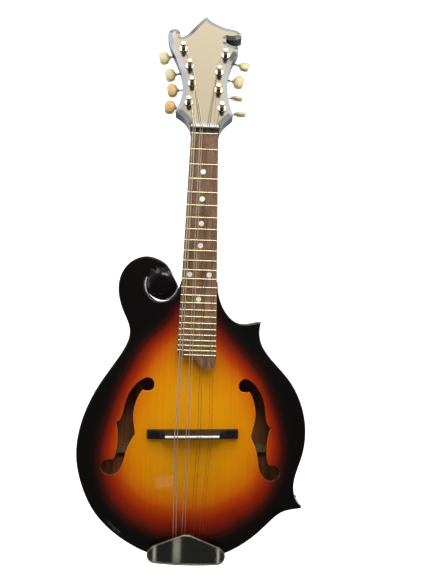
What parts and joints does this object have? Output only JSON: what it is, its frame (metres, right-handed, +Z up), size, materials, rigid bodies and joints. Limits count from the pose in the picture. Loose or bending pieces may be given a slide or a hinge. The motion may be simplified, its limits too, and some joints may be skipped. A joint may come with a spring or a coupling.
{
  "type": "mandolin",
  "caption": "Arched mandolin with a scroll, two body points, f-holes, a fretted neck, a tilted headstock with geared tuners and paired strings.",
  "frame": {"origin": "centre of the neck at the zero fret, where a wall hanger or a stand cradles the neck under the headstock", "axes": "+Z up the neck to the headstock, -Y out of the soundboard towards the audience, +X to the treble side"},
  "size_m": [0.2491, 0.1122, 0.6346],
  "materials": {
    "sunburst_spruce": "gloss sunburst lacquer on spruce",
    "sunburst_maple": "gloss sunburst lacquer on maple",
    "dark_maple": "gloss dark lacquer on maple",
    "bare_spruce": "plain",
    "rosewood": "satin, open pored",
    "black_ebony": "satin",
    "black_lacquer": "high gloss",
    "fret_silver": "polished",
    "pearl": "pearly",
    "ivory": "satin",
    "chrome": "mirror",
    "plain_steel": "drawn wire",
    "bronze_wound": "wound wire",
    "steel": "plain"
  },
  "bodies": {
    "root": {"top_plate": "sunburst_spruce", "back_plate": "sunburst_maple", "front_linings": "bare_spruce", "back_linings": "bare_spruce", "tone_bars": "bare_spruce", "back_brace": "bare_spruce", "neck": "dark_maple", "neck_rod": "steel", "heel_cap": "black_ebony", "headstock_overlay": "black_lacquer", "fingerboard": "rosewood", "fingerboard_riser": "dark_maple", "frets": "fret_silver", "position_dots": "pearl", "nut": "ivory", "bridge": "black_ebony", "saddle": "ivory", "tailpiece_base": "chrome", "tailpiece_screws": "chrome", "end_pin": "black_ebony", "rim_bass": "dark_maple", "rim_lower_treble": "dark_maple", "rim_middle_treble": "dark_maple", "rim_upper_treble": "dark_maple", "scroll_block": "dark_maple", "head_block": "bare_spruce", "tail_block": "bare_spruce", "point_blocks": "bare_spruce", "string_g": "bronze_wound", "string_d": "bronze_wound", "string_a": "plain_steel", "string_e": "plain_steel", "tuner_housings": "chrome", "tuner_screws": "chrome", "tuner_ferrules": "chrome"},
    "cover": {"tailpiece_cover": "chrome"},
    "tuner_1_shaft": {"tuner_1_worm": "chrome", "tuner_1_button": "ivory"},
    "tuner_1_post": {"tuner_1_post": "chrome"},
    "tuner_2_shaft": {"tuner_2_worm": "chrome", "tuner_2_button": "ivory"},
    "tuner_2_post": {"tuner_2_post": "chrome"},
    "tuner_3_shaft": {"tuner_3_worm": "chrome", "tuner_3_button": "ivory"},
    "tuner_3_post": {"tuner_3_post": "chrome"},
    "tuner_4_shaft": {"tuner_4_worm": "chrome", "tuner_4_button": "ivory"},
    "tuner_4_post": {"tuner_4_post": "chrome"},
    "tuner_5_shaft": {"tuner_5_worm": "chrome", "tuner_5_button": "ivory"},
    "tuner_5_post": {"tuner_5_post": "chrome"},
    "tuner_6_shaft": {"tuner_6_worm": "chrome", "tuner_6_button": "ivory"},
    "tuner_6_post": {"tuner_6_post": "chrome"},
    "tuner_7_shaft": {"tuner_7_worm": "chrome", "tuner_7_button": "ivory"},
    "tuner_7_post": {"tuner_7_post": "chrome"},
    "tuner_8_shaft": {"tuner_8_worm": "chrome", "tuner_8_button": "ivory"},
    "tuner_8_post": {"tuner_8_post": "chrome"}
  },
  "joints": [
    {"name": "tailpiece_cover_slide", "type": "slide", "parent": "root", "child": "cover", "axis": [0, 0, 1], "range_m": [0, 0.012]},
    {"name": "tuner_1_turn", "type": "hinge", "parent": "root", "child": "tuner_1_shaft", "pos_m": [-0.02916, 0.0243, 0.03811], "axis": [-0.9994, 0.0119, 0.0328], "continuous": true},
    {"name": "tuner_1_wind", "type": "hinge", "parent": "root", "child": "tuner_1_post", "pos_m": [-0.0194, 0.01704, 0.03336], "axis": [0, 0.9397, -0.342], "continuous": true},
    {"name": "tuner_2_turn", "type": "hinge", "parent": "root", "child": "tuner_2_shaft", "pos_m": [-0.02763, 0.03312, 0.06234], "axis": [-0.9925, -0.0417, -0.1145], "continuous": true},
    {"name": "tuner_2_wind", "type": "hinge", "parent": "root", "child": "tuner_2_post", "pos_m": [-0.0169, 0.02641, 0.05911], "axis": [0, 0.9397, -0.342], "continuous": true},
    {"name": "tuner_3_turn", "type": "hinge", "parent": "root", "child": "tuner_3_shaft", "pos_m": [-0.03155, 0.04118, 0.08447], "axis": [-0.9781, -0.0711, -0.1954], "continuous": true},
    {"name": "tuner_3_wind", "type": "hinge", "parent": "root", "child": "tuner_3_post", "pos_m": [-0.0204, 0.03479, 0.08213], "axis": [0, 0.9397, -0.342], "continuous": true},
    {"name": "tuner_4_turn", "type": "hinge", "parent": "root", "child": "tuner_4_shaft", "pos_m": [-0.03995, 0.04973, 0.10796], "axis": [-0.9781, -0.0711, -0.1954], "continuous": true},
    {"name": "tuner_4_wind", "type": "hinge", "parent": "root", "child": "tuner_4_post", "pos_m": [-0.0288, 0.04334, 0.10563], "axis": [0, 0.9397, -0.342], "continuous": true},
    {"name": "tuner_5_turn", "type": "hinge", "parent": "root", "child": "tuner_5_shaft", "pos_m": [0.0323, 0.04703, 0.10054], "axis": [0.9703, -0.0827, -0.2273], "continuous": true},
    {"name": "tuner_5_wind", "type": "hinge", "parent": "root", "child": "tuner_5_post", "pos_m": [0.021, 0.04078, 0.09858], "axis": [0, 0.9397, -0.342], "continuous": true},
    {"name": "tuner_6_turn", "type": "hinge", "parent": "root", "child": "tuner_6_shaft", "pos_m": [0.02539, 0.03874, 0.07778], "axis": [0.9848, -0.0594, -0.1632], "continuous": true},
    {"name": "tuner_6_wind", "type": "hinge", "parent": "root", "child": "tuner_6_post", "pos_m": [0.0144, 0.03223, 0.07509], "axis": [0, 0.9397, -0.342], "continuous": true},
    {"name": "tuner_7_turn", "type": "hinge", "parent": "root", "child": "tuner_7_shaft", "pos_m": [0.02454, 0.03031, 0.05461], "axis": [0.9962, -0.0298, -0.0819], "continuous": true},
    {"name": "tuner_7_wind", "type": "hinge", "parent": "root", "child": "tuner_7_post", "pos_m": [0.014, 0.02347, 0.05103], "axis": [0, 0.9397, -0.342], "continuous": true},
    {"name": "tuner_8_turn", "type": "hinge", "parent": "root", "child": "tuner_8_shaft", "pos_m": [0.02826, 0.02218, 0.03229], "axis": [0.9994, 0.0119, 0.0328], "continuous": true},
    {"name": "tuner_8_wind", "type": "hinge", "parent": "root", "child": "tuner_8_post", "pos_m": [0.0185, 0.01492, 0.02754], "axis": [0, 0.9397, -0.342], "continuous": true}
  ],
  "couplings": [
    {"joint": "tuner_1_wind", "follows": "tuner_1_turn", "ratio": 0.071429},
    {"joint": "tuner_2_wind", "follows": "tuner_2_turn", "ratio": 0.071429},
    {"joint": "tuner_3_wind", "follows": "tuner_3_turn", "ratio": 0.071429},
    {"joint": "tuner_4_wind", "follows": "tuner_4_turn", "ratio": 0.071429},
    {"joint": "tuner_5_wind", "follows": "tuner_5_turn", "ratio": -0.071429},
    {"joint": "tuner_6_wind", "follows": "tuner_6_turn", "ratio": -0.071429},
    {"joint": "tuner_7_wind", "follows": "tuner_7_turn", "ratio": -0.071429},
    {"joint": "tuner_8_wind", "follows": "tuner_8_turn", "ratio": -0.071429}
  ]
}
